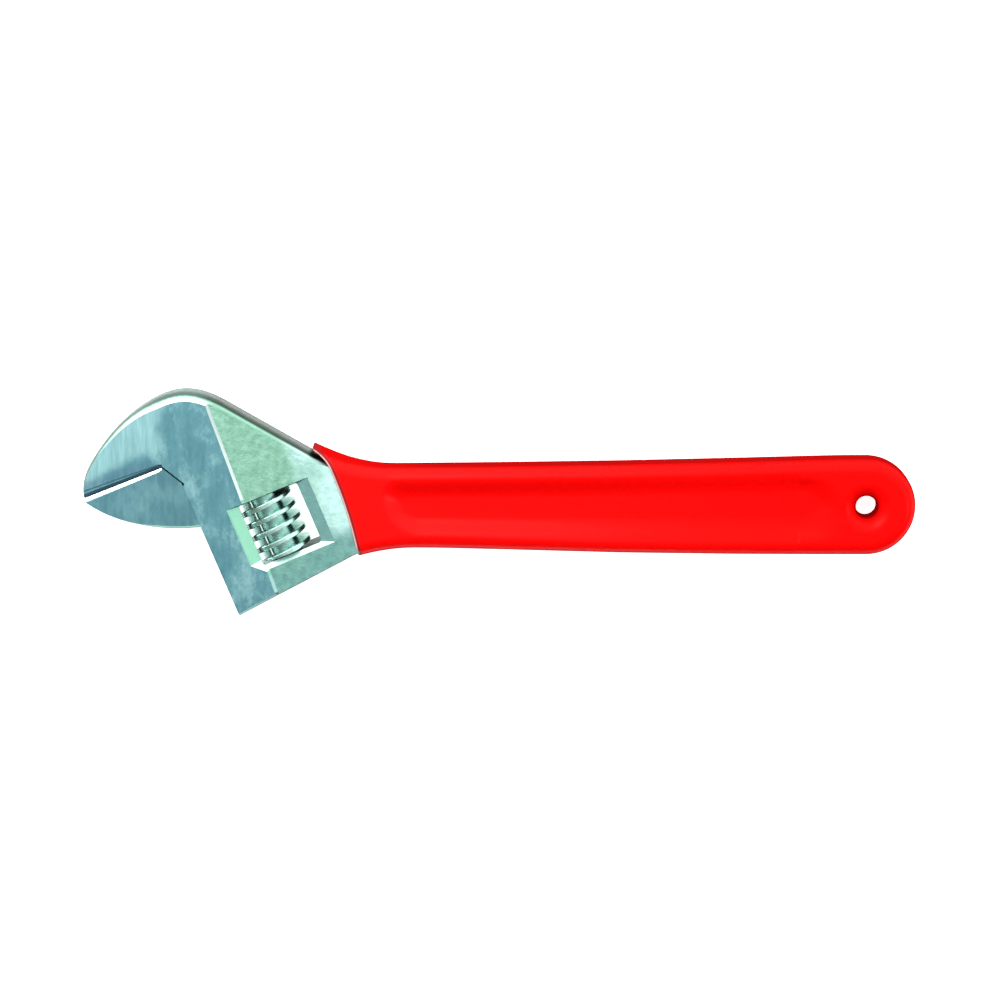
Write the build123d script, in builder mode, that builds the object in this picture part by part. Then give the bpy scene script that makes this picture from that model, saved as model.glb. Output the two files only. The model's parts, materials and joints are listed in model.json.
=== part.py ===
"""Adjustable wrench with a dipped vinyl grip, jaws closed, in millimetres.

The origin is the centre of the hang hole, halfway through the handle.  +X runs along the
handle from the head to the butt, +Y towards the back of the fixed jaw, +Z out of the face.

The head is drawn in its own pair of directions, turned by the head angle: `across` is
measured from the slide face towards the handle, and `along` from the jaw faces in the
direction in which the movable jaw opens.
"""
from build123d import *
from math import cos, radians, sin
import os

# ---- Driving dimensions -------------------------------------------------------------
HEAD_ANGLE = 22.5            # between the handle and the normal of the slide face
HEAD_X, HEAD_Y = -211.8, 14.55   # where the slide face's plane meets the jaw faces' plane

PAD_HALF = 8.25              # ground faces of the jaws, half thickness
SATIN_HALF = 7.5             # forged faces of the head, half thickness
TAPER_START_X = -216.3       # the jaws get thinner from here to the tips
TAPER_SLOPE = 0.12
JAW_TIP = -29.9              # across position of the movable jaw's blunt tip
BLANK_HALF = 9.85            # half thickness of the forging before its faces are ground
TOP_KNEE, BOTTOM_KNEE = (-161.2, 12.1), (-151.0, -11.5)
HEAD_END_TOP, HEAD_END_BOTTOM = (-138.0, 11.3), (-141.0, -11.4)
RIM_R = 7.0                  # rounded rim of the forging
LOW_RIM_R = 4.5              # rim along the head's lower edge
BELLY_R = 4.5                # rounded rim under the movable jaw
BOSS_END, HANDLE_START = 38.0, 60.0   # the head thins down between these across positions

HANDLE_HALF = 5.25           # steel flanges of the handle, half thickness
HANDLE_TOP, HANDLE_LOW = 12.2, 13.1   # half widths of the steel at its middle
WEB_HALF = 3.0               # web between the flanges, half thickness
CHANNEL_START, CHANNEL_END = -150.0, -11.0
CHANNEL_NARROW, CHANNEL_WIDE = 5.6, 6.9   # half widths of the channel at the web
CHANNEL_TAPER = -35.0        # lean of the channel's walls
BUTT_R = 13.6                # round butt of the steel handle
HANG_STEEL_R = 4.6           # hang hole in the steel
HANG_STEEL_LIP = 3.4         # rounding of its edges
SKIN = 1.4                   # thickness of the vinyl
SKIN_RIM_R = 5.0             # rounded rim of the vinyl
HANG_R = 3.2                 # hang hole as lined by the vinyl

THROAT_BACK = 3.4            # the throat's facet starts this far before the slide face
THROAT_RELIEF = 0.7          # and ends in a relief this deep in the slide face
FACET_RISE = 1.8             # along per across of that facet
FACE_GAP = 0.3               # between the closed jaw faces
FACET_GAP = 0.5              # between the jaws at the facet, measured across
SLIDE_GAP = 0.05             # between the movable jaw and the slide face
BOTTOM_ALONG = 51.9          # lower end of the slide face
BOTTOM_SLOPE = 0.099         # the bottom edge comes back towards the jaws by this

ROD_ACROSS = 10.2            # axis of the rack rod and of its bore
ROD_R = 5.7
ROD_TOP, ROD_END = 1.5, 40.1
BORE_R = 5.8
BORE_TOP = 0.9
NECK_HALF = 3.25             # web that joins the jaw to its rod, half thickness
SLOT_HALF = 3.35
NECK_TOP, JAW_HEEL = 7.3, 22.0

PITCH = 4.0                  # worm thread, single start, right hand
LEAD_SLOPE = 0.085           # tilt of the rack's grooves
WORM_ACROSS = 20.8
WORM_TOP, WORM_END = 20.6, 39.6
WORM_R = 8.15
WORM_ROOT_R = 4.6
THREAD_TIP, THREAD_ROOT = 1.4, 1.9   # thickness of the thread
THREAD_AT = 22.14            # along position of a thread's middle on the handle side
MESH_GAP = 0.15              # on each flank between thread and rack tooth
RACK_FLOOR = 12.3            # across position of the bottom of the rack's grooves
RACK_GROOVES = 10

WINDOW_TOP, WINDOW_END = 20.4, 40.2
WINDOW_NEAR, WINDOW_FAR = 12.9, 32.2
# sloped walls around the window, from an inner outline up to a wider one
RECESS_LOW, RECESS_HIGH = 5.9, 8.9    # half thicknesses at which the two outlines lie
RECESS_INNER = ((13.1, 20.6), (32.0, 20.6), (32.0, 40.0), (14.9, 40.0), (13.1, 38.4))
RECESS_OUTER = ((8.25, 19.7), (39.5, 19.3), (39.5, 43.0), (13.3, 43.2), (8.25, 38.6))

PIN_R = 2.2
PIN_HOLE_R = 2.25
PIN_TOP = 14.0
PIN_HEAD_R, PIN_HEAD_HOLE_R = 2.95, 3.0
PIN_CHAMFER = 0.4
SPRING_WIRE = 0.8
SPRING_MEAN_R = 3.0
SPRING_POCKET_R = 3.65
SPRING_POCKET = 5.0
SPRING_TURNS = 4
PAST = 20.0                  # how far a cutter reaches past the part

TURN = radians(HEAD_ANGLE)
ACROSS = Vector(cos(TURN), sin(TURN), 0)
ALONG = Vector(sin(TURN), -cos(TURN), 0)


# ---- Directions of the head -------------------------------------------------------------
def head(across, along):
    """A point given in the head's own directions, as a point of the part."""
    point = Vector(HEAD_X, HEAD_Y, 0) + ACROSS * across + ALONG * along
    return (point.X, point.Y, 0.0)


def flat(across, along):
    """The same, for a sketch in the XY plane."""
    return head(across, along)[:2]


def flats(points):
    """Several such points."""
    return [flat(across, along) for across, along in points]


def flat_direction(across, along):
    """A direction given in the head's own directions, for a sketch in the XY plane."""
    direction = ACROSS * across + ALONG * along
    return (direction.X, direction.Y)


def along_plane(across, along):
    """A plane square to the opening direction; its x is across and its normal is along."""
    return Plane(origin=head(across, along), x_dir=ACROSS, z_dir=ALONG)


def axis_plane(across):
    """The XY plane turned into the head; its x is across and its y is against along."""
    return Plane(origin=head(across, 0), x_dir=ACROSS, z_dir=(0, 0, 1))


# ---- Helpers shared by the parts --------------------------------------------------------
def both_faces(profile, level, height, taper=0.0):
    """Cuts a profile out of both faces, from a level outwards, in the builder that is open.

    A negative taper opens the cut out towards the surface.
    """
    for side in (1, -1):
        plane = Plane(origin=(0, 0, side * level), x_dir=(1, 0, 0), z_dir=(0, 0, side))
        with BuildSketch(plane) as outline:
            Polygon(*[(x, side * y) for x, y in profile], align=None)
        extrude(outline.sketch, amount=height, taper=taper, mode=Mode.SUBTRACT)


def cut_through(profile):
    """Cuts a profile in the XY plane right through, in the builder that is open."""
    with BuildSketch() as outline:
        Polygon(*profile, align=None)
    extrude(outline.sketch, amount=PAST, both=True, mode=Mode.SUBTRACT)


def round_knee(knee, radius):
    """Rounds the upright edge nearest to a knee of the outline, in the builder that is open."""
    uprights = edges().filter_by(Axis.Z)
    fillet(uprights.sort_by_distance(Vector(*knee, 0))[0], radius)


def round_rim(choose, radius):
    """Rounds the chosen edges of both flat faces, in the builder that is open."""
    rims = edges().filter_by(Plane.XY).filter_by(lambda e: e.length > 2)
    fillet(rims.filter_by(lambda e: choose(e @ 0.5)), radius)


def thin_down(head_half, handle_half):
    """Brings both faces from the head's half thickness to the handle's, in an S curve."""
    middle = (0.5 * (BOSS_END + HANDLE_START), 0.5 * (head_half + handle_half))
    end = HANDLE_START + 220
    for side in (1, -1):
        with BuildSketch(Plane(origin=head(0, 0), x_dir=ACROSS, z_dir=ALONG)) as boss:
            with BuildLine():
                fall = Spline(
                    (BOSS_END, side * head_half),
                    (middle[0], side * middle[1]),
                    (HANDLE_START, side * handle_half),
                    tangents=((1, 0), (1, 0)),
                )
                Polyline(
                    fall @ 1,
                    (end, side * handle_half),
                    (end, side * PAST),
                    (BOSS_END, side * PAST),
                    fall @ 0,
                )
            make_face()
        extrude(boss.sketch, amount=200, both=True, mode=Mode.SUBTRACT)


def channel(level, inset, start):
    """The handle's channel, cut in both faces; `inset` makes it smaller all round."""
    end = CHANNEL_END - inset
    wide = CHANNEL_WIDE - inset
    narrow = CHANNEL_NARROW - inset
    both_faces(
        (
            (start + 4.5, narrow),
            (end - wide, wide),
            (end - 0.3 * wide, 0.6 * wide),
            (end, 0),
            (end - 0.3 * wide, -0.6 * wide),
            (end - wide, -wide),
            (start, -narrow),
        ),
        level, 6.0, taper=CHANNEL_TAPER,
    )


def hang_hole(radius, lip):
    """The hang hole with rounded edges, in the builder that is open."""
    Hole(radius)
    rims = edges().filter_by(GeomType.CIRCLE).filter_by(lambda e: abs(e.radius - radius) < 0.01)
    fillet(rims, lip)


def grind_jaws():
    """Grinds both faces flat, and thinner towards the jaw tips, in the builder that is open."""
    reach = 60.0
    end = TAPER_START_X + 4 * reach
    for side in (1, -1):
        with BuildSketch(Plane.XZ) as wedge:
            Polygon(
                (end, side * PAD_HALF),
                (TAPER_START_X, side * PAD_HALF),
                (TAPER_START_X - reach, side * (PAD_HALF - TAPER_SLOPE * reach)),
                (TAPER_START_X - reach, side * 2 * PAD_HALF),
                (end, side * 2 * PAD_HALF),
                align=None,
            )
        extrude(wedge.sketch, amount=60, both=True, mode=Mode.SUBTRACT)


def bevel_jaw_face(along, into, stations):
    """Bevels the edge of a jaw face on both faces, in the builder that is open.

    `into` is +1 where the jaw lies further along than its face, and -1 where it lies before.
    A station gives an across position, and the bevel's width and depth there.
    """
    for side in (1, -1):
        wedges = []
        for across, width, depth in stations:
            drop = TAPER_SLOPE * max(0.0, TAPER_START_X - head(across, along)[0])
            level = PAD_HALF - drop
            plane = Plane(origin=head(across, along), x_dir=ALONG * into, z_dir=ACROSS)
            with BuildSketch(plane) as wedge:
                Polygon(
                    (-width, -into * side * (level - 2 * depth)),
                    (2 * width, -into * side * (level + depth)),
                    (-width, -into * side * (level + depth)),
                    align=None,
                )
            wedges.append(wedge.sketch)
        for near, far in zip(wedges, wedges[1:]):
            loft([near, far], ruled=True, mode=Mode.SUBTRACT)


def bore_along(across, start, length, radius):
    """A round bore in the opening direction, in the builder that is open."""
    with BuildSketch(along_plane(across, start)) as circle:
        Circle(radius)
    extrude(circle.sketch, amount=length, mode=Mode.SUBTRACT)


# ---- Forged body: head and handle -------------------------------------------------------
with BuildPart() as forged_body:
    # the blank reaches past the jaw face, so that its rounded back runs out past the tip
    with BuildSketch():
        with BuildLine():
            back = Spline(
                *flats(
                    (
                        (-31.0, 3.5),
                        (-29.0, -2.95),
                        (-20.5, -11.25),
                        (-12.0, -15.9),
                        (-3.0, -18.8),
                        (12.0, -18.1),
                        (21.5, -9.83),
                    )
                ),
                tangents=(flat_direction(1.9, -6.5), flat_direction(26.8, 34.7)),
                tangent_scalars=(1, 1),
            )
            Polyline(
                back @ 1,
                TOP_KNEE,
                HEAD_END_TOP,
                HEAD_END_BOTTOM,
                BOTTOM_KNEE,
                flat(0, BOTTOM_ALONG),
                flat(-12, 40),
                flat(-33, 20),
                back @ 0,
            )
        make_face()
    extrude(amount=BLANK_HALF, both=True)
    round_knee(TOP_KNEE, 45.0)
    round_knee(BOTTOM_KNEE, 30.0)
    round_rim(lambda at: at.Y > 12, RIM_R)
    round_rim(lambda at: -30 < at.Y < -11 and -185 < at.X < -142, LOW_RIM_R)
    grind_jaws()
    relief_at = (THROAT_BACK + THROAT_RELIEF) * FACET_RISE
    before_body = (
        (-60, 0),
        (-THROAT_BACK, 0),
        (THROAT_RELIEF, relief_at),
        (0, relief_at + THROAT_RELIEF),
        (0, 70),
        (-60, 70),
    )
    cut_through(flats(before_body))
    bevel_jaw_face(0, -1, ((-33.0, 2.6, 0.6), (-THROAT_BACK, 0.7, 0.2)))

    # forged faces of the head, a step below the ground jaws
    forged_faces = ((17.3, -20), (13.6, 53), (80, 53), (80, -80), (17.3, -80))
    both_faces(flats(forged_faces), SATIN_HALF, 5.0, taper=-50)
    thin_down(SATIN_HALF, HANDLE_HALF)

    # handle, an I section with a rounded butt
    with BuildSketch() as handle:
        with BuildLine():
            upper = Spline(
                (-150.0, 11.2), (-75.0, HANDLE_TOP), (0, BUTT_R), tangents=((1, 0), (1, 0))
            )
            ThreePointArc(upper @ 1, (BUTT_R, 0), (0, -BUTT_R))
            lower = Spline(
                (0, -BUTT_R), (-75.0, -HANDLE_LOW), (-148.0, -11.3), tangents=((-1, 0), (-1, 0))
            )
            Line(lower @ 1, upper @ 0)
        make_face()
    extrude(handle.sketch, amount=HANDLE_HALF, both=True)
    channel(WEB_HALF, 0.0, CHANNEL_START)
    hang_hole(HANG_STEEL_R, HANG_STEEL_LIP)

    # window for the worm, with its recess in both faces
    with BuildSketch() as window:
        Polygon(
            *flats(
                (
                    (WINDOW_NEAR, WINDOW_TOP),
                    (WINDOW_FAR, WINDOW_TOP),
                    (WINDOW_FAR, WINDOW_END),
                    (WINDOW_NEAR, WINDOW_END),
                )
            ),
            align=None,
        )
        fillet(window.vertices(), 1.0)
    extrude(window.sketch, amount=PAST, both=True, mode=Mode.SUBTRACT)
    for side in (1, -1):
        with BuildSketch(Plane.XY.offset(side * RECESS_LOW)) as recess_inner:
            Polygon(*flats(RECESS_INNER), align=None)
        with BuildSketch(Plane.XY.offset(side * RECESS_HIGH)) as recess_outer:
            Polygon(*flats(RECESS_OUTER), align=None)
        loft([recess_inner.sketch, recess_outer.sketch], ruled=True, mode=Mode.SUBTRACT)

    # bore of the rack rod, and the slot that its web runs in
    bore_along(ROD_ACROSS, BORE_TOP, 70, BORE_R)
    with BuildSketch(along_plane(ROD_ACROSS / 2 - 5, NECK_TOP - 0.4)) as slot:
        Rectangle(ROD_ACROSS + 10, 2 * SLOT_HALF)
    extrude(slot.sketch, amount=70, mode=Mode.SUBTRACT)

    # holes of the worm's pin, the wider one for its head
    bore_along(WORM_ACROSS, PIN_TOP - 0.5, 20, PIN_HOLE_R)
    bore_along(WORM_ACROSS, WINDOW_END - 1, 30, PIN_HEAD_HOLE_R)
forged_body.part.label = "forged_body"


# ---- Movable jaw ------------------------------------------------------------------------
with BuildPart() as movable_jaw:
    with BuildSketch():
        with BuildLine():
            belly = Spline(
                *flats(
                    (
                        (-SLIDE_GAP, JAW_HEEL),
                        (-6.2, 19.9),
                        (-13.0, 16.7),
                        (-19.4, 12.6),
                        (-27.0, 5.5),
                        (-29.9, 1.5),
                        (-33.2, -5.0),
                    )
                )
            )
            Polyline(belly @ 1, flat(-30, -12), flat(-SLIDE_GAP, -12), belly @ 0)
        make_face()
    extrude(amount=BLANK_HALF, both=True)
    fillet(edges().filter_by(Plane.XY).filter_by(GeomType.BSPLINE), BELLY_R)
    grind_jaws()
    above_face = (
        (-60, FACE_GAP),
        (FACE_GAP / FACET_RISE - THROAT_BACK - FACET_GAP, FACE_GAP),
        (-SLIDE_GAP, (THROAT_BACK + FACET_GAP - SLIDE_GAP) * FACET_RISE),
        (10, (THROAT_BACK + FACET_GAP - SLIDE_GAP) * FACET_RISE),
        (10, -60),
        (-60, -60),
    )
    cut_through(flats(above_face))
    cut_through(flats(((JAW_TIP, -5), (JAW_TIP, 30), (-60, 30), (-60, -5))))
    bevel_jaw_face(FACE_GAP, 1, ((-33.0, 1.2, 0.6), (-3.9, 0.45, 0.25)))

    # web and rack rod
    web_start = -1.5
    web_end = ROD_ACROSS + 1.5
    with BuildSketch(along_plane(0.5 * (web_start + web_end), NECK_TOP)) as web:
        Rectangle(web_end - web_start, 2 * NECK_HALF)
    extrude(web.sketch, amount=JAW_HEEL - 1.4 - NECK_TOP)
    with BuildSketch(along_plane(ROD_ACROSS, ROD_TOP)) as rod:
        Circle(ROD_R)
    extrude(rod.sketch, amount=ROD_END - ROD_TOP)

    # grooves of the rack, tilted by the lead of the thread
    crest = ROD_ACROSS + ROD_R
    root_share = (WORM_R - (WORM_ACROSS - crest)) / (WORM_R - WORM_ROOT_R)
    narrow = THREAD_TIP + 2 * MESH_GAP
    wide = narrow + (THREAD_ROOT - THREAD_TIP) * root_share
    first = THREAD_AT + PITCH / 2 - 5 * PITCH
    for i in range(RACK_GROOVES):
        groove_plane = Plane(
            origin=head(0, first + PITCH * i),
            x_dir=ACROSS,
            z_dir=Vector(0, 0, 1) - ALONG * LEAD_SLOPE,
        )
        with BuildSketch(groove_plane) as groove:
            Polygon(
                (RACK_FLOOR, -narrow / 2),
                (crest + 1, -wide / 2),
                (crest + 1, wide / 2),
                (RACK_FLOOR, narrow / 2),
                align=None,
            )
        extrude(groove.sketch, amount=9, both=True, mode=Mode.SUBTRACT)
movable_jaw.part.label = "movable_jaw"


# ---- Worm -------------------------------------------------------------------------------
worm_length = WORM_END - WORM_TOP
thread_depth = WORM_R - WORM_ROOT_R
thread_plane = Plane(
    origin=head(WORM_ACROSS, THREAD_AT + 6 * PITCH), x_dir=ACROSS, z_dir=-ALONG
)
thread_path = thread_plane * Helix(PITCH, 7 * PITCH, WORM_ROOT_R)

with BuildPart() as worm_screw:
    # core and thread are made too long and then cut off square
    with BuildSketch(along_plane(WORM_ACROSS, WORM_TOP - 9)) as core:
        Circle(WORM_ROOT_R)
    extrude(core.sketch, amount=worm_length + 18)
    thread_start = Plane(origin=thread_path @ 0, x_dir=ACROSS, z_dir=thread_path % 0)
    with BuildSketch(thread_start) as tooth:
        Polygon(
            (-0.6, -0.5 * THREAD_ROOT),
            (0, -0.5 * THREAD_ROOT),
            (thread_depth - 0.2, -0.5 * THREAD_TIP),
            (thread_depth, 0.2 - 0.5 * THREAD_TIP),
            (thread_depth, 0.5 * THREAD_TIP - 0.2),
            (thread_depth - 0.2, 0.5 * THREAD_TIP),
            (0, 0.5 * THREAD_ROOT),
            (-0.6, 0.5 * THREAD_ROOT),
            align=None,
        )
    sweep(tooth.sketch, path=thread_path, is_frenet=True)
    bore_along(WORM_ACROSS, WORM_TOP, -PAST, WORM_R + 3)
    bore_along(WORM_ACROSS, WORM_END, PAST, WORM_R + 3)
    bore_along(WORM_ACROSS, WORM_TOP, worm_length, PIN_HOLE_R)
    bore_along(WORM_ACROSS, WORM_END - SPRING_POCKET, SPRING_POCKET, SPRING_POCKET_R)
worm_screw.part.label = "worm_screw"


# ---- Worm pin ---------------------------------------------------------------------------
pin_end = BOTTOM_ALONG - BOTTOM_SLOPE * WORM_ACROSS - 0.6
with BuildPart() as worm_pin:
    with BuildSketch(axis_plane(WORM_ACROSS)) as profile:
        Polygon(
            (0, -PIN_TOP),
            (PIN_R - PIN_CHAMFER, -PIN_TOP),
            (PIN_R, -PIN_TOP - PIN_CHAMFER),
            (PIN_R, -WINDOW_END - 0.2),
            (PIN_HEAD_R, -WINDOW_END - 0.8),
            (PIN_HEAD_R, PIN_CHAMFER - pin_end),
            (PIN_HEAD_R - PIN_CHAMFER, -pin_end),
            (0, -pin_end),
            align=None,
        )
    revolve(profile.sketch, Axis(head(WORM_ACROSS, 0), ALONG))
    with BuildSketch(along_plane(WORM_ACROSS, pin_end - 1.2)) as driver_slot:
        Rectangle(10, 1.0)
    extrude(driver_slot.sketch, amount=3, mode=Mode.SUBTRACT)
worm_pin.part.label = "worm_pin"


# ---- Worm spring ------------------------------------------------------------------------
spring_top = WORM_END - SPRING_POCKET + 0.05 + SPRING_WIRE / 2
spring_length = WINDOW_END - 0.05 - SPRING_WIRE / 2 - spring_top
spring_path = along_plane(WORM_ACROSS, spring_top) * Helix(
    spring_length / SPRING_TURNS, spring_length, SPRING_MEAN_R
)
with BuildPart() as worm_spring:
    with BuildSketch(Plane(origin=spring_path @ 0, z_dir=spring_path % 0)) as wire:
        Circle(SPRING_WIRE / 2)
    sweep(wire.sketch, path=spring_path, is_frenet=True)
worm_spring.part.label = "worm_spring"


# ---- Vinyl grip -------------------------------------------------------------------------
with BuildPart() as grip_sleeve:
    top_bend = (-160.9, TOP_KNEE[1] + SKIN)
    low_bend = (-150.4, BOTTOM_KNEE[1] - SKIN)
    top_lip = flat(41.0, 13.5)
    low_lip = flat(40.6, 49.3)
    # the blank runs on towards the head, so that its rounded rims run out past the lip
    top_start = (top_bend[0] + 2.3 * (top_lip[0] - top_bend[0]),
                 top_bend[1] + 2.3 * (top_lip[1] - top_bend[1]))
    low_start = (low_bend[0] + 3.0 * (low_lip[0] - low_bend[0]),
                 low_bend[1] + 3.0 * (low_lip[1] - low_bend[1]))
    with BuildSketch() as skin:
        with BuildLine():
            skin_top = Spline(
                top_bend, (-75.0, HANDLE_TOP + SKIN), (0, BUTT_R + SKIN),
                tangents=((1, 0), (1, 0)),
            )
            ThreePointArc(skin_top @ 1, (BUTT_R + SKIN, 0), (0, -BUTT_R - SKIN))
            Spline(
                (0, -BUTT_R - SKIN), (-75.0, -HANDLE_LOW - SKIN), low_bend,
                tangents=((-1, 0), (-1, 0)),
            )
            Polyline(low_bend, low_start, top_start, top_bend)
        make_face()
    extrude(skin.sketch, amount=SATIN_HALF + SKIN, both=True)
    round_knee(top_bend, 30.0)
    round_knee(low_bend, 18.0)
    round_rim(lambda at: at.X > -168 or abs(at.Y) > 16, SKIN_RIM_R)
    with BuildSketch() as lip:
        with BuildLine():
            edge = ThreePointArc(low_lip, flat(42.3, 27), top_lip)
            Polyline(edge @ 1, flat(40.6, -20), flat(0, -20), flat(0, 80), flat(40.6, 80), low_lip)
        make_face()
    extrude(lip.sketch, amount=PAST, both=True, mode=Mode.SUBTRACT)
    thin_down(SATIN_HALF + 0.75 * SKIN, HANDLE_HALF + SKIN)
    channel(WEB_HALF + SKIN, 1.1, CHANNEL_START + 1)
    hang_hole(HANG_R, HANG_STEEL_LIP + SKIN)
    add(forged_body.part, mode=Mode.SUBTRACT)
grip_sleeve.part.label = "grip_sleeve"

os.makedirs("parts", exist_ok=True)
for piece in (forged_body, movable_jaw, worm_screw, worm_pin, worm_spring, grip_sleeve):
    export_step(piece.part, f"parts/{piece.part.label}.step")
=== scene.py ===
"""Looks of the adjustable wrench: polished and forged steel, dipped vinyl, floor and light.

The sleeve's sizes and shape functions are in millimetres, everything else is in metres.
"""

import json
import math

import bpy
import numpy as np
from mathutils import Matrix, Vector


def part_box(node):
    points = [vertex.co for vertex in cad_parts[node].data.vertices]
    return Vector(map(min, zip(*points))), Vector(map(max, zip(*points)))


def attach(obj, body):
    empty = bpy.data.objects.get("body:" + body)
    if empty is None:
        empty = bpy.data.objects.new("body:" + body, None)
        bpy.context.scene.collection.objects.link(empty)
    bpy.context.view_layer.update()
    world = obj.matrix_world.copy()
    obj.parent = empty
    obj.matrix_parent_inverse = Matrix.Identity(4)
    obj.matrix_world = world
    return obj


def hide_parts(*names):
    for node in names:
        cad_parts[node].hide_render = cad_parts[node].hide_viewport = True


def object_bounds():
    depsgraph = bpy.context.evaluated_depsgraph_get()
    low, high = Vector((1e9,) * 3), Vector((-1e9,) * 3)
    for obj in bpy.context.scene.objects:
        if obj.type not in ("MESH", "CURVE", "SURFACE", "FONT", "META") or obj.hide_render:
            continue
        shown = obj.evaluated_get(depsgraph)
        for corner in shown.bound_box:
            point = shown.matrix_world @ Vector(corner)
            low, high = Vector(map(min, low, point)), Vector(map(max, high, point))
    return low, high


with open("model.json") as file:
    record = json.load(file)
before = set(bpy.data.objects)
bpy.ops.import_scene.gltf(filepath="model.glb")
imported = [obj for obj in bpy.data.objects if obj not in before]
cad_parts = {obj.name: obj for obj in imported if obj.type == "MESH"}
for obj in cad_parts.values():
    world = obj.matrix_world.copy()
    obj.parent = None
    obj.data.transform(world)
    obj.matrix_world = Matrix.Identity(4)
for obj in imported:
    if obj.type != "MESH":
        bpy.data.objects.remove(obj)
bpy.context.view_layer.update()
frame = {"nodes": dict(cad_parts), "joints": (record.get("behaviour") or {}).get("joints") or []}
NODES = frame["nodes"]
MM = 0.001

# ---- The head's own directions, as in the record's joints --------------------------------
JOINTS = {joint["name"]: joint for joint in frame["joints"]}
ALONG = np.array(JOINTS["jaw_slide"]["axis"][:2], float)
ACROSS = np.array([-ALONG[1], ALONG[0]])
WORM_ACROSS, WORM_ALONG = 20.8, 30.0  # the worm's joint in those directions
WORM_AT = np.array(JOINTS["worm_spin"]["pos_m"][:2]) / MM
HEAD_ORIGIN = WORM_AT - ACROSS * WORM_ACROSS - ALONG * WORM_ALONG

# ---- Sizes of the vinyl sleeve -----------------------------------------------------------
FLANGE_HALF, HEAD_HALF, FLOOR_HALF = 6.65, 8.4, 4.4  # half thickness: handle, head, channel's floor
BOSS_END, HANDLE_START = 38.0, 60.0  # across the head, where it thins down to the handle
RIM_R, LIP_R, HOLE_R, HOLE_LIP = 4.2, 0.75, 3.2, 4.8
BUTT_MID, BUTT_R = 0.15, 15.0
SKIN, SIDE_SKIN = 1.55, 2.6  # a little more than the gap to the steel, so no gap shows
MIN_STEEL_R = 0.6

CHANNEL_LEFT, CHANNEL_LEFT_R = 56.5, 5.0
RIM_TOP, RIM_LOW, RIM_JOIN_R = 6.7, 6.9, 1.0  # from the outline to the middle of the channel's wall
CAP_X, CAP_Y, CAP_LONG = -21.0, 0.1, 10.3  # round end of the channel
WALL_WIDTH, WALL_EXTRA = 6.2, 5.0
WALL_FROM_Y, WALL_BLEND = 2.0, 6.0
FADE_FROM_X, FADE_LONG, FADE_RISE = -125.0, 80.0, 0.7

MOUTH_ACROSS, MOUTH_MID, MOUTH_BOW = 43.3, 22.0, 0.0038
CORNER_ALONG, CORNER_BOW, CORNER_END = 20.5, 0.045, 40.6

EDGE_TOP = (
    (-185, 26.5), (-176, 22.0), (-169, 18.7), (-166.2, 17.5), (-160.7, 15.2),
    (-155.3, 13.75), (-149.1, 12.7), (-142.3, 12.66), (-130, 12.78), (-112, 12.95),
    (-75, 13.5), (-40, 14.3), (-10, 15.1), (0, 15.15), (12, 15.15),
)
EDGE_LOW = (
    (-185, -28), (-170, -20.6), (-155.7, -14.9), (-149, -13.5), (-142.2, -12.75), (-130, -12.85),
    (-112, -13.3), (-75.4, -14.3), (-40, -14.75), (-10, -14.85), (0, -14.85), (12, -14.85),
)

# ---- Where the steel's finish and its painted light and shade change ---------------------
# each pair says where a zone begins and where it is in full
PAD_HALF, TAPER_START_X, TAPER_SLOPE = 8.25 * MM, -216.3 * MM, 0.12
PAD_DEPTH = (0.12 * MM, 0.22 * MM)
PALE_ACROSS, DARK_ALONG = (32 * MM, 40 * MM), (36 * MM, 45 * MM)
TIP_X, TIP_ALONG = (TAPER_START_X + 5.5 * MM, TAPER_START_X - 1 * MM), (-2 * MM, -7.5 * MM)
SEAM_OFFSET, SEAM_NEAR = 1 * MM, (4.5 * MM, 1.5 * MM)
SEAM_ALONG, SEAM_ACROSS = (0.1 * MM, 0.0), (-2 * MM, -9 * MM)
BEHIND_PAD = (13 * MM, 20 * MM)
LOW_STEP, LOW_END = (40 * MM, 43 * MM), (48.5 * MM, 49.5 * MM)
THIN_RIM_X = (-216 * MM, -224 * MM)
FACET_END, FACET_RIM_END = (3.6 * MM, 3.0 * MM), (1.4 * MM, 1.0 * MM)
BEVEL_TOP, BEVEL_LINE, BEVEL_END = (-3.6 * MM, -2.8 * MM), (-1.1 * MM, -0.7 * MM), (0.2 * MM, 0.1 * MM)
BEVEL_ACROSS = (-2.8 * MM, -3.4 * MM)
WINDOW_LEFT, WINDOW_RIGHT = (8.0 * MM, 8.4 * MM), (40.5 * MM, 40.0 * MM)
WINDOW_TOP, WINDOW_LOW = (18.5 * MM, 19.0 * MM), (44.0 * MM, 43.6 * MM)
ROD_LEFT, ROD_RIGHT = (2.2 * MM, 2.6 * MM), (16.8 * MM, 16.4 * MM)
ROD_TOP, ROD_HALF = (0.6 * MM, 1.0 * MM), (6.0 * MM, 5.8 * MM)
GROOVE_TOP, GROOVE_ROOT = (7.6 * MM, 5.8 * MM), (4.0 * MM, 4.4 * MM)


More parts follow.
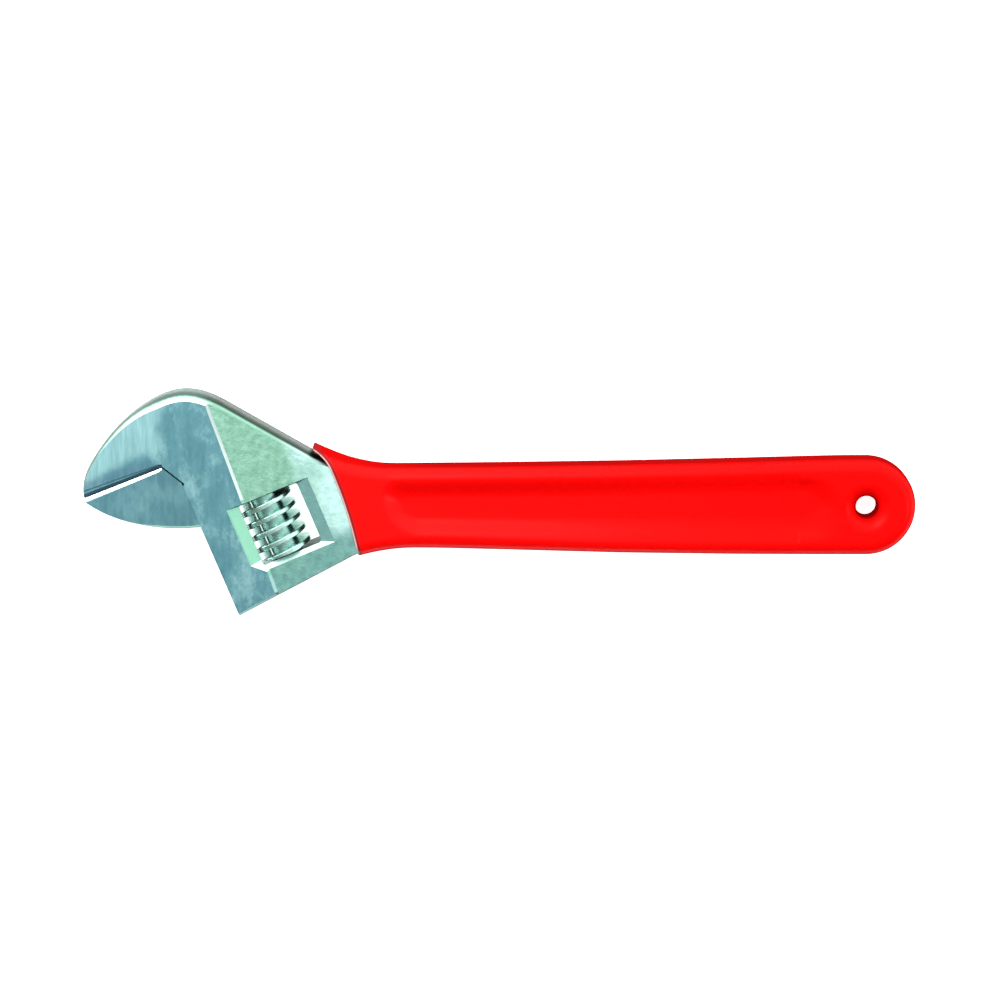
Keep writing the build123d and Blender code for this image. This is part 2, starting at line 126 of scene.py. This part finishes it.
# ---- Node material helpers ---------------------------------------------------------------
class Nodes:
    """Builds one material's node tree with short calls."""

    def __init__(self, name):
        self.material = bpy.data.materials.new(name)
        self.material.use_nodes = True
        self.tree = self.material.node_tree
        self.tree.nodes.clear()
        self.output = self.add("ShaderNodeOutputMaterial")
        self.shader = self.add("ShaderNodeBsdfPrincipled")
        self.link(self.shader.outputs["BSDF"], self.output.inputs["Surface"])

    def add(self, kind, **values):
        node = self.tree.nodes.new(kind)
        for key, value in values.items():
            setattr(node, key, value)
        return node

    def link(self, source, target):
        self.tree.links.new(source, target)

    def put(self, value, socket):
        """Links another node's socket, or sets a plain value."""
        if isinstance(value, bpy.types.NodeSocket):
            self.link(value, socket)
        else:
            socket.default_value = value

    def shade(self, **values):
        """Sets or links the shader's sockets, named with _ for a space."""
        for key, value in values.items():
            self.put(value, self.shader.inputs[key.replace("_", " ")])

    def math(self, operation, a, b=0.0):
        node = self.add("ShaderNodeMath", operation=operation)
        self.put(a, node.inputs[0])
        self.put(b, node.inputs[1])
        return node.outputs[0]

    def plus(self, a, b):
        return self.math("ADD", a, b)

    def minus(self, a, b):
        return self.math("SUBTRACT", a, b)

    def product(self, first, *others):
        for other in others:
            first = self.math("MULTIPLY", first, other)
        return first

    def size(self, value):
        """The value without its sign."""
        return self.math("ABSOLUTE", value)

    def square(self, value):
        return self.math("POWER", self.size(value), 2.0)

    def where(self):
        """The piece's own coordinates, as a vector and split in X, Y and Z."""
        coords = self.add("ShaderNodeTexCoord").outputs["Object"]
        split = self.add("ShaderNodeSeparateXYZ")
        self.link(coords, split.inputs[0])
        return coords, split.outputs[0], split.outputs[1], split.outputs[2]

    def facing(self):
        """The way the surface faces: X, Y, and how straight up or down."""
        split = self.add("ShaderNodeSeparateXYZ")
        self.link(self.add("ShaderNodeTexCoord").outputs["Normal"], split.inputs[0])
        return split.outputs[0], split.outputs[1], self.size(split.outputs[2])

    def mapped(self, coords, scale, turn=(0, 0, 0)):
        node = self.add("ShaderNodeMapping")
        self.link(coords, node.inputs["Vector"])
        node.inputs["Scale"].default_value = scale
        node.inputs["Rotation"].default_value = turn
        return node.outputs[0]

    def noise(self, coords, scale, detail, rough):
        node = self.add("ShaderNodeTexNoise")
        self.link(coords, node.inputs["Vector"])
        node.inputs["Scale"].default_value = scale
        node.inputs["Detail"].default_value = detail
        node.inputs["Roughness"].default_value = rough
        return node.outputs["Fac"]

    def span(self, value, low, high, to_low=0.0, to_high=1.0, smooth=False):
        """Goes from to_low to to_high while the value goes from low to high."""
        node = self.add("ShaderNodeMapRange")
        node.interpolation_type = "SMOOTHSTEP" if smooth else "LINEAR"
        self.put(value, node.inputs["Value"])
        for key, number in (("From Min", low), ("From Max", high), ("To Min", to_low), ("To Max", to_high)):
            node.inputs[key].default_value = number
        return node.outputs["Result"]

    def mix(self, factor, a, b):
        node = self.add("ShaderNodeMix", data_type="RGBA")
        self.put(factor, node.inputs["Factor"])
        for value, socket in ((a, node.inputs[6]), (b, node.inputs[7])):
            self.put((*value, 1) if isinstance(value, tuple) else value, socket)
        return node.outputs[2]

    def blend(self, factor, a, b):
        """Like mix, for plain numbers."""
        node = self.add("ShaderNodeMix", data_type="FLOAT")
        for value, socket in ((factor, node.inputs["Factor"]), (a, node.inputs[2]), (b, node.inputs[3])):
            self.put(value, socket)
        return node.outputs[0]

    def bump(self, height, distance, strength, normal=None):
        node = self.add("ShaderNodeBump")
        node.inputs["Strength"].default_value = strength
        node.inputs["Distance"].default_value = distance
        self.link(height, node.inputs["Height"])
        if normal is not None:
            self.link(normal, node.inputs["Normal"])
        return node.outputs[0]


def head_parts(n, x, y):
    """A direction's parts across and along the head."""
    across = n.plus(n.product(x, ACROSS[0]), n.product(y, ACROSS[1]))
    along = n.plus(n.product(x, ALONG[0]), n.product(y, ALONG[1]))
    return across, along


def head_place(n, x, y):
    """A point's place across and along the head, in metres."""
    return head_parts(n, n.minus(x, HEAD_ORIGIN[0] * MM), n.minus(y, HEAD_ORIGIN[1] * MM))


def dimmed(colour, share):
    """A colour at a share of its strength."""
    return tuple(share * part for part in colour)


# ---- Steel -------------------------------------------------------------------------------
def forged_faces(n, mottle, wander, across, along):
    """Plated forging: greenish near the back, paler towards the handle, dark below."""
    spots = n.span(mottle, 0.32, 0.68)
    colour = n.mix(spots, (0.24, 0.52, 0.38), (0.36, 0.68, 0.52))
    pale = n.mix(spots, (0.54, 0.90, 0.83), (0.68, 1.0, 0.95))
    below = n.mix(spots, (0.17, 0.40, 0.36), (0.25, 0.52, 0.47))
    colour = n.mix(n.span(n.plus(across, wander), *PALE_ACROSS, smooth=True), colour, pale)
    return n.mix(n.span(n.plus(along, wander), *DARK_ALONG, smooth=True), colour, below)


def ground_faces(n, streaks, polish, wander, x, across, along, low, high, tip):
    """Ground pads: long streaks and cloudy patches, with painted light making the fixed jaw's tip paler and
    painted shade along the seam.
    """
    colour = n.mix(n.span(streaks, 0.3, 0.7), low, high)
    colour = n.mix(n.span(polish, 0.50, 0.72), colour, tip)
    colour = n.mix(n.span(polish, 0.46, 0.30), colour, dimmed(low, 0.88))
    # painted light: the tapered tip is paler, as where it catches more light
    painted_tip_light = n.product(
        n.span(n.plus(x, wander), *TIP_X, smooth=True),
        n.span(n.plus(along, wander), *TIP_ALONG, smooth=True),
    )
    streaked_tip = n.mix(n.span(streaks, 0.35, 0.65), dimmed(tip, 0.86), dimmed(tip, 1.10))
    colour = n.mix(n.product(painted_tip_light, 0.85), colour, streaked_tip)
    # painted shade on the pad beside the seam
    seam_shade = n.product(
        n.span(n.size(n.plus(along, SEAM_OFFSET)), *SEAM_NEAR, smooth=True),
        n.span(along, *SEAM_ALONG),
        n.span(across, *SEAM_ACROSS, smooth=True),
    )
    return n.mix(n.product(seam_shade, 0.5), colour, (0.10, 0.22, 0.34))


def painted_rims_and_walls(n, colour, x, across, along, upright, narrow_rim):
    """Painted highlights on the rounded rims, darker behind the pad and at the low end, and painted shade
    on the upright walls.
    """
    behind_pad = n.span(across, *BEHIND_PAD, smooth=True)
    low_end = n.span(along, *LOW_END, smooth=True)
    low_step = n.product(n.span(along, *LOW_STEP, smooth=True), n.minus(1.0, low_end))
    # where the pad tapers to the tip, the rim reaches further down its rounding
    steep = n.plus(upright, n.span(x, *THIN_RIM_X, 0.0, 0.13))
    rim = n.product(
        n.span(steep, 0.52, 0.66, smooth=True),
        n.span(upright, 0.97, 0.90, smooth=True),
        n.minus(1.0, n.product(low_step, 0.8)),
    )
    if narrow_rim:
        # painted shade dims the facet beside the movable jaw's seam
        colour = n.mix(n.product(rim, n.span(along, *FACET_END)), colour, (0.16, 0.30, 0.34))
        rim = n.product(rim, n.span(along, *FACET_RIM_END))
    # painted highlight on the rims, with painted shade behind the pad and at the low end
    painted_rim_light = n.mix(behind_pad, (0.80, 0.93, 0.92), (0.085, 0.135, 0.105))
    painted_rim_light = n.mix(low_end, painted_rim_light, (0.07, 0.13, 0.12))
    # painted shade on the upright walls, darkest behind the pad
    painted_wall_shade = n.mix(behind_pad, (0.055, 0.105, 0.088), (0.016, 0.036, 0.024))
    return n.mix(n.span(steep, 0.62, 0.42, smooth=True), n.mix(rim, colour, painted_rim_light), painted_wall_shade)


def fixed_bevel(n, colour, across, along, lean_along):
    """Painted shade on the bevel along the fixed jaw's gripping face, darkest next to the seam."""
    bevel = n.product(
        n.span(lean_along, 0.05, 0.15),
        n.span(along, *BEVEL_TOP),
        n.span(along, *BEVEL_END),
        n.span(across, *BEVEL_ACROSS),
    )
    # painted shade, paler up the bevel and dark next to the seam
    painted_bevel_shade = n.mix(n.span(along, *BEVEL_LINE, smooth=True), (0.28, 0.70, 0.76), (0.10, 0.21, 0.31))
    return n.mix(bevel, colour, painted_bevel_shade)


def window_slopes(n, colour, across, along, upright, lean_across, lean_along):
    """Sloped walls round the worm's window, each painted lit or shaded by the way it faces."""
    recess = n.product(
        n.span(across, *WINDOW_LEFT),
        n.span(across, *WINDOW_RIGHT),
        n.span(along, *WINDOW_TOP),
        n.span(along, *WINDOW_LOW),
        n.span(upright, 0.990, 0.975),
        n.span(upright, 0.2, 0.25),
    )
    # painted light and shade, set by which way each wall faces
    slope = n.mix(n.span(lean_across, 0.15, 0.35), (0.36, 0.72, 0.68), (0.25, 0.54, 0.40))
    slope = n.mix(n.span(lean_along, -0.15, -0.35), slope, (0.62, 0.82, 0.76))
    slope = n.mix(n.span(lean_along, 0.15, 0.35), slope, (0.09, 0.22, 0.21))
    return n.mix(recess, colour, slope)


def rack_rod(n, colour, height, across, along):
    """The rack is cut in a bright turned rod."""
    rod = n.product(
        n.span(across, *ROD_LEFT),
        n.span(across, *ROD_RIGHT),
        n.span(along, *ROD_TOP),
        n.span(height, *ROD_HALF),
    )
    return n.mix(rod, colour, (0.95, 1.0, 1.0))


def forged_steel(name, pad_low, pad_high, pad_tip, narrow_rim=False):
    """Satin plated forging with ground jaw faces."""
    n = Nodes(name)
    coords, x, y, z = n.where()
    across, along = head_place(n, x, y)
    height = n.size(z)
    taper = n.product(n.math("MAXIMUM", n.minus(TAPER_START_X, x), 0.0), TAPER_SLOPE)
    ground = n.span(n.minus(n.minus(PAD_HALF, taper), height), *PAD_DEPTH, 1.0, 0.0)
    facing_x, facing_y, upright = n.facing()
    lean_across, lean_along = head_parts(n, facing_x, facing_y)

    grain = n.noise(coords, 2600, 3, 0.6)
    mottle = n.noise(coords, 420, 5, 0.65)
    wander = n.product(n.minus(n.noise(coords, 70, 3, 0.5), 0.5), 0.02)
    lay = (0, 0, math.radians(67))
    streaks = n.noise(n.mapped(coords, (700, 90, 90), lay), 1.0, 6, 0.7)
    polish = n.noise(n.mapped(coords, (130, 90, 90), lay), 1.0, 6, 0.7)

    forged = forged_faces(n, mottle, wander, across, along)
    pad = ground_faces(n, streaks, polish, wander, x, across, along, pad_low, pad_high, pad_tip)
    colour = n.mix(ground, forged, pad)
    colour = painted_rims_and_walls(n, colour, x, across, along, upright, narrow_rim)
    colour = fixed_bevel(n, colour, across, along, lean_along)
    colour = window_slopes(n, colour, across, along, upright, lean_across, lean_along)
    colour = rack_rod(n, colour, height, across, along)

    rough = n.blend(ground, n.span(mottle, 0.2, 0.8, 0.36, 0.50), n.span(streaks, 0.2, 0.8, 0.24, 0.38))
    pebbles = n.product(n.minus(1.0, ground), n.plus(n.product(grain, 0.5), mottle))
    lines = n.product(ground, streaks, 0.3)
    relief = n.bump(n.plus(pebbles, lines), 0.00016, 0.6)
    n.shade(Base_Color=colour, Metallic=1.0, Roughness=rough, Normal=relief)
    return n.material


def bright_steel():
    """Turned and plated steel of the worm, its pin and its spring."""
    n = Nodes("turned_bright_steel")
    coords, x, y, z = n.where()
    turned = n.noise(n.mapped(coords, (300, 2600, 300), (0, 0, math.radians(22.5))), 1.0, 4, 0.6)
    spots = n.noise(coords, 600, 4, 0.6)
    colour = n.mix(n.span(spots, 0.35, 0.70), (0.40, 0.70, 0.60), (0.74, 0.95, 0.90))
    # painted shade, darker towards the bottom of the thread's grooves
    off_axis = n.minus(head_place(n, x, y)[0], WORM_ACROSS * MM)
    radius = n.math("SQRT", n.plus(n.square(off_axis), n.square(z)))
    groove_shade = n.product(n.span(radius, *GROOVE_TOP), n.span(radius, *GROOVE_ROOT))
    colour = n.mix(n.product(groove_shade, 0.75), colour, (0.20, 0.42, 0.37))
    rough = n.span(turned, 0.25, 0.75, 0.20, 0.36)
    n.shade(Base_Color=colour, Metallic=1.0, Roughness=rough, Normal=n.bump(turned, 0.00004, 0.5))
    return n.material


# ---- Vinyl -------------------------------------------------------------------------------
def red_vinyl():
    """Glossy dipped vinyl, slightly uneven, with painted shade on its side walls and a pale painted
    highlight along the edge at the mouth.
    """
    n = Nodes("dipped_red_vinyl")
    coords, x, y, _ = n.where()
    waves = n.noise(n.mapped(coords, (45, 110, 110)), 1.0, 2, 0.4)
    skin = n.noise(coords, 900, 4, 0.55)
    _, _, upright = n.facing()
    colour = n.mix(n.span(skin, 0.3, 0.7), (0.78, 0.0010, 0.0009), (0.86, 0.0016, 0.0014))
    # painted shade on the vinyl's side walls, a little weaker near the head
    vinyl_wall_shade = n.product(n.span(upright, 0.62, 0.30, smooth=True), n.span(x, -0.160, -0.130, 0.75, 1.0))
    colour = n.mix(vinyl_wall_shade, colour, (0.24, 0.0022, 0.0022))

    # how far inside the mouth a point lies, by the same curve as lip() below
    across, along = head_place(n, x, y)
    bow = n.product(n.square(n.minus(along, MOUTH_MID * MM)), MOUTH_BOW / MM)
    corner = n.square(n.math("MAXIMUM", n.minus(CORNER_ALONG * MM, along), 0.0))
    bent = n.plus(bow, n.product(corner, CORNER_BOW / MM))
    inside = n.minus(n.plus(across, bent), MOUTH_ACROSS * MM)
    # a darker band a little back from the mouth's edge
    colour = n.mix(n.span(inside, 1.7 * MM, 1.0 * MM, smooth=True), colour, (0.22, 0.012, 0.012))
    # painted highlight along the mouth's edge, on its upward faces
    pale = n.product(n.span(inside, 0.7 * MM, 0.3 * MM, smooth=True), n.span(upright, 0.3, 0.6))
    colour = n.mix(pale, colour, (0.80, 0.42, 0.42))

    rough = n.span(skin, 0.2, 0.8, 0.26, 0.36)
    shine = n.product(n.span(x, -0.15, -0.03, 0.085, 0.045), n.span(upright, 0.45, 0.75, smooth=True))
    relief = n.bump(waves, 0.0004, 0.35, n.bump(skin, 0.00003, 0.4))
    n.shade(Base_Color=colour, Roughness=rough, Specular_IOR_Level=shine, Normal=relief)
    return n.material


def dress(obj, material):
    """Gives a piece one material in every slot."""
    if not obj.data.materials:
        obj.data.materials.append(material)
    for i in range(len(obj.data.materials)):
        obj.data.materials[i] = material


# ---- The vinyl sleeve's shape, as distances in millimetres -------------------------------
def smooth_curve(points, spread=2.5, pitch=0.25):
    """A curve through points, rounded over a few millimetres, and its slope, as functions of x."""
    xs = np.arange(points[0][0], points[-1][0], pitch)
    ys = np.interp(xs, *np.array(points, float).T)
    reach = np.arange(-4 * spread, 4 * spread + 0.1, pitch)
    weights = np.exp(-0.5 * (reach / spread) ** 2)
    padded = np.pad(ys, len(reach) // 2, mode="reflect", reflect_type="odd")
    ys = np.convolve(padded, weights / weights.sum(), mode="valid")
    slopes = np.gradient(ys, pitch)
    return (lambda x: np.interp(x, xs, ys)), (lambda x: np.interp(x, xs, slopes))


edge_top, slope_top = smooth_curve(EDGE_TOP)
edge_low, slope_low = smooth_curve(EDGE_LOW)


def step(t):
    """Rises smoothly from 0 to 1."""
    t = np.clip(t, 0, 1)
    return t * t * (3 - 2 * t)


def soft_max(a, b, r):
    """The larger of two distances, with the corner between them rounded to radius r."""
    inner = np.minimum(np.maximum(a, b) + r, 0)
    return inner - r + np.hypot(np.maximum(a + r, 0), np.maximum(b + r, 0))


def in_head(x, y, direction):
    """How far a point lies from the head's origin in one of the head's directions."""
    return (x - HEAD_ORIGIN[0]) * direction[0] + (y - HEAD_ORIGIN[1]) * direction[1]


def outline(x, y):
    """Distance outside the sleeve's outline in plan."""
    top = (y - edge_top(x)) / np.hypot(1, slope_top(x))
    low = (edge_low(x) - y) / np.hypot(1, slope_low(x))
    butt = np.hypot(x, y - BUTT_MID) - BUTT_R
    return np.where(x > 0, butt, np.maximum(top, low))


def channel(x, y):
    """Distance outside the middle of the channel's wall in plan."""
    top = y - (edge_top(x) - RIM_TOP)
    low = (edge_low(x) + RIM_LOW) - y
    sides = soft_max(top, low, RIM_JOIN_R)
    body = soft_max(sides, CHANNEL_LEFT - in_head(x, y, ACROSS), CHANNEL_LEFT_R)
    half = 0.5 * (edge_top(CAP_X) - RIM_TOP - edge_low(CAP_X) - RIM_LOW)
    cap = (np.hypot((x - CAP_X) / CAP_LONG, (y - CAP_Y) / half) - 1) * half
    return np.where(x > CAP_X, soft_max(body, cap, RIM_JOIN_R), body)


def half_thickness(x, y):
    """Half the sleeve's thickness: full at the head, less on the handle, least in the channel."""
    rise = step((HANDLE_START - in_head(x, y, ACROSS)) / (HANDLE_START - BOSS_END))
    full = FLANGE_HALF + (HEAD_HALF - FLANGE_HALF) * rise
    # the wall nearer the lower edge gets wider and fainter towards the butt
    fading = step((x - FADE_FROM_X) / FADE_LONG)
    width = WALL_WIDTH + WALL_EXTRA * fading * step((WALL_FROM_Y - y) / WALL_BLEND)
    sunk = step(0.5 - channel(x, y) / width)
    return full - (full - FLOOR_HALF - FADE_RISE * fading) * sunk


def lip(x, y):
    """Distance before the sleeve's mouth, which bends towards the head at both ends."""
    along = in_head(x, y, ALONG)
    mouth = MOUTH_ACROSS - MOUTH_BOW * (along - MOUTH_MID) ** 2
    mouth -= CORNER_BOW * np.maximum(0, CORNER_ALONG - along) ** 2
    return np.maximum(mouth, CORNER_END) - in_head(x, y, ACROSS)


def sleeve_field(p):
    """Less than zero inside the vinyl."""
    x, y, z = p[..., 0], p[..., 1], np.abs(p[..., 2])
    slab = z - half_thickness(x, y)
    plan = outline(x, y)
    hole = HOLE_R - np.hypot(x, y)
    outside = np.maximum(soft_max(slab, plan, RIM_R), soft_max(slab, hole, HOLE_LIP))
    steel = soft_max(slab + SKIN, plan + SIDE_SKIN, max(RIM_R - SIDE_SKIN, MIN_STEEL_R))
    steel = np.maximum(steel, soft_max(slab + SKIN, hole + SKIN, HOLE_LIP - SKIN))
    shell = np.maximum(outside, -steel)
    return soft_max(shell, lip(x, y), LIP_R)


# ---- Mesh of a field's surface -----------------------------------------------------------
def surface_net(field, low, high, cell):
    """Quads on the zero surface of a field, one vertex in each cell that it crosses."""
    axes = [np.arange(a, b + cell, cell) for a, b in zip(low, high)]
    grid = np.stack(np.meshgrid(*axes, indexing="ij"), -1)
    value = field(grid)
    inside = value < 0
    shape = np.array(value.shape) - 1

    def corner(a, i, j, k):
        return a[i:i + shape[0], j:j + shape[1], k:k + shape[2]]

    total = np.zeros((*shape, 3))
    count = np.zeros(shape)
    starts = [(i, j, k) for i in (0, 1) for j in (0, 1) for k in (0, 1)]
    for one in starts:
        for axis in range(3):
            if one[axis]:
                continue
            two = tuple(v + (n == axis) for n, v in enumerate(one))
            a, b = corner(value, *one), corner(value, *two)
            crossed = corner(inside, *one) != corner(inside, *two)
            share = np.where(crossed, a / np.where(crossed, a - b, 1), 0)[..., None]
            start, end = corner(grid, *one), corner(grid, *two)
            total += crossed[..., None] * (start + share * (end - start))
            count += crossed
    used = count > 0
    index = -np.ones(shape, int)
    index[used] = np.arange(used.sum())
    points = total[used] / count[used][:, None]

    quads = []
    for axis in range(3):
        u, v = [n for n in range(3) if n != axis]
        here = [slice(0, s) for s in value.shape]
        here[axis] = slice(0, value.shape[axis] - 1)
        there = list(here)
        there[axis] = slice(1, value.shape[axis])
        at = np.argwhere(inside[tuple(here)] != inside[tuple(there)])
        at = at[(at[:, u] > 0) & (at[:, v] > 0) & (at[:, u] < shape[u]) & (at[:, v] < shape[v])]
        cells = []
        for du, dv in ((1, 1), (0, 1), (0, 0), (1, 0)):
            c = at.copy()
            c[:, u] -= du
            c[:, v] -= dv
            cells.append(index[c[:, 0], c[:, 1], c[:, 2]])
        quad = np.stack(cells, -1)
        outward = inside[at[:, 0], at[:, 1], at[:, 2]]
        if axis == 1:
            outward = ~outward
        quad[~outward] = quad[~outward][:, ::-1]
        quads.append(quad)
    return points, np.concatenate(quads)


def settle(points, quads, field, rounds=8, last_rounds=2, nudge=0.01, longest=0.2):
    """Evens out the mesh, and in the last rounds only puts its vertices on the surface."""
    edges = np.concatenate([quads[:, [i, (i + 1) % 4]] for i in range(4)])
    degree = np.bincount(edges.ravel(), minlength=len(points))[:, None]
    for turn in range(rounds):
        slope = np.stack([
            (field(points + nudge * axis) - field(points - nudge * axis)) / (2 * nudge)
            for axis in np.eye(3)
        ], -1)
        steepness = (slope ** 2).sum(-1, keepdims=True)
        if turn < rounds - last_rounds:
            mean = np.zeros_like(points)
            np.add.at(mean, edges[:, 0], points[edges[:, 1]])
            np.add.at(mean, edges[:, 1], points[edges[:, 0]])
            pull = 0.5 * (mean / degree - points)
            pull -= slope * (pull * slope).sum(-1, keepdims=True) / np.maximum(steepness, 1e-6)
            points = points + pull
        move = -field(points)[:, None] * slope / np.maximum(steepness, 0.05)
        length = np.linalg.norm(move, axis=1, keepdims=True)
        points = points + move * np.minimum(1, longest / np.maximum(length, 1e-9))
    return points


def make_mesh(name, points, faces):
    """A new object in the scene, from points in metres."""
    mesh = bpy.data.meshes.new(name)
    mesh.from_pydata(points, [], faces)
    mesh.update()
    obj = bpy.data.objects.new(name, mesh)
    bpy.context.scene.collection.objects.link(obj)
    return obj


def make_sleeve(cell=0.5, margin=2.03):
    """The vinyl grip as one closed smooth mesh, in place of the plain CAD sleeve."""
    box = np.array(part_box("grip_sleeve"), float) / MM
    cell = cell
    points, quads = surface_net(sleeve_field, box[0] - margin, box[1] + margin, cell)
    points = settle(points, quads, sleeve_field)
    sleeve = make_mesh("vinyl_grip", (points * MM).tolist(), quads.tolist())
    sleeve.data.shade_smooth()
    return sleeve


# ---- The wrench's pieces -----------------------------------------------------------------
sleeve = make_sleeve()
dress(sleeve, red_vinyl())
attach(sleeve, "wrench_body")
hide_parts("grip_sleeve")

dress(NODES["forged_body"], forged_steel(
    "satin_forging", (0.145, 0.395, 0.46), (0.21, 0.475, 0.53), (0.43, 0.80, 0.82)))
dress(NODES["movable_jaw"], forged_steel(
    "ground_jaw", (0.128, 0.325, 0.385), (0.175, 0.41, 0.465), (0.24, 0.50, 0.54), narrow_rim=True))
bright = bright_steel()
for name in ("worm_screw", "worm_pin", "worm_spring"):
    dress(NODES[name], bright)


# ---- Floor, light and camera -------------------------------------------------------------
FLOOR_HALF_WIDTH = 3.0
SKY_TOP = 2.4
# how strong the sky is: at -1 towards -Y, at 0 overhead and at 1 towards +Y
SKY = ((-1.0, 0.12), (-0.6, 0.16), (-0.32, 0.42), (-0.12, 0.78), (0.25, 1.5), (0.6, 2.2), (1.0, 2.3))

CAMERA_TILT = math.radians(10)
CAMERA_TARGET = Vector((-0.11221, 0.001527, 0.0))
CAMERA_DISTANCE = 1.2
SENSOR_WIDTH = 36
VIEW_WIDTH = 0.255 / 0.831  # the wrench's length, over its share of the picture's width


def make_floor():
    """Pale plain floor under the wrench, bright enough to look white."""
    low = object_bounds()[0][2]
    far = FLOOR_HALF_WIDTH
    corners = [(-far, -far, low), (far, -far, low), (far, far, low), (-far, far, low)]
    floor = make_mesh("floor", corners, [(0, 1, 2, 3)])
    n = Nodes("pale_floor")
    colour = n.mix(n.noise(n.where()[0], 900, 2, 0.5), (0.93, 0.93, 0.93), (0.96, 0.96, 0.96))
    n.shade(Base_Color=colour, Roughness=0.9, Specular_IOR_Level=0.1)
    n.shade(Emission_Color=(1, 1, 1, 1), Emission_Strength=0.85)
    dress(floor, n.material)


def make_world():
    """Soft studio light, from dim on the -Y side to bright on the +Y side."""
    world = bpy.data.worlds.new("studio")
    bpy.context.scene.world = world
    world.use_nodes = True
    tree = world.node_tree
    coords = tree.nodes.new("ShaderNodeTexCoord")
    split = tree.nodes.new("ShaderNodeSeparateXYZ")
    tree.links.new(coords.outputs["Generated"], split.inputs[0])
    shift = tree.nodes.new("ShaderNodeMapRange")
    tree.links.new(split.outputs[1], shift.inputs["Value"])
    shift.inputs["From Min"].default_value = -1.0
    curve = tree.nodes.new("ShaderNodeFloatCurve")
    tree.links.new(shift.outputs["Result"], curve.inputs["Value"])
    points = curve.mapping.curves[0].points
    while len(points) < len(SKY):
        points.new(0.5, 0.5)
    for point, (toward_back, strength) in zip(points, SKY):
        point.location = (0.5 + 0.5 * toward_back, strength / SKY_TOP)
    curve.mapping.update()
    scale = tree.nodes.new("ShaderNodeMath")
    scale.operation = "MULTIPLY"
    tree.links.new(curve.outputs[0], scale.inputs[0])
    scale.inputs[1].default_value = SKY_TOP
    background = tree.nodes["Background"]
    tree.links.new(scale.outputs[0], background.inputs["Strength"])
    background.inputs["Color"].default_value = (1, 1, 1, 1)


def area_light(name, at, aim, size, power):
    """A rectangular lamp that points from one place to another."""
    data = bpy.data.lights.new(name, "AREA")
    data.shape = "RECTANGLE"
    data.size, data.size_y = size
    data.energy = power
    light = bpy.data.objects.new(name, data)
    light.location = at
    light.rotation_euler = (Vector(aim) - Vector(at)).to_track_quat("-Z", "Y").to_euler()
    bpy.context.scene.collection.objects.link(light)


def make_camera():
    """Looks down at the middle of the wrench, tilted a little from straight above."""
    data = bpy.data.cameras.new("camera")
    data.sensor_width = SENSOR_WIDTH
    data.lens = SENSOR_WIDTH * CAMERA_DISTANCE / VIEW_WIDTH
    data.clip_start = 0.01
    camera = bpy.data.objects.new("camera", data)
    back = Vector((0, math.sin(CAMERA_TILT), math.cos(CAMERA_TILT)))
    up = Vector((0, math.cos(CAMERA_TILT), -math.sin(CAMERA_TILT)))
    turn = Matrix((up.cross(back), up, back)).transposed().to_4x4()
    camera.matrix_world = Matrix.Translation(CAMERA_TARGET + CAMERA_DISTANCE * back) @ turn
    bpy.context.scene.collection.objects.link(camera)
    bpy.context.scene.camera = camera


make_floor()
make_world()
area_light("key", (-0.75, 0.75, 1.25), (-0.11, 0.0, 0.0), (0.9, 0.9), 14)
area_light("side", (0.95, -0.2, 0.8), (0.0, 0.0, 0.0), (0.3, 0.12), 2)
make_camera()
bpy.context.scene.view_settings.view_transform = "Standard"
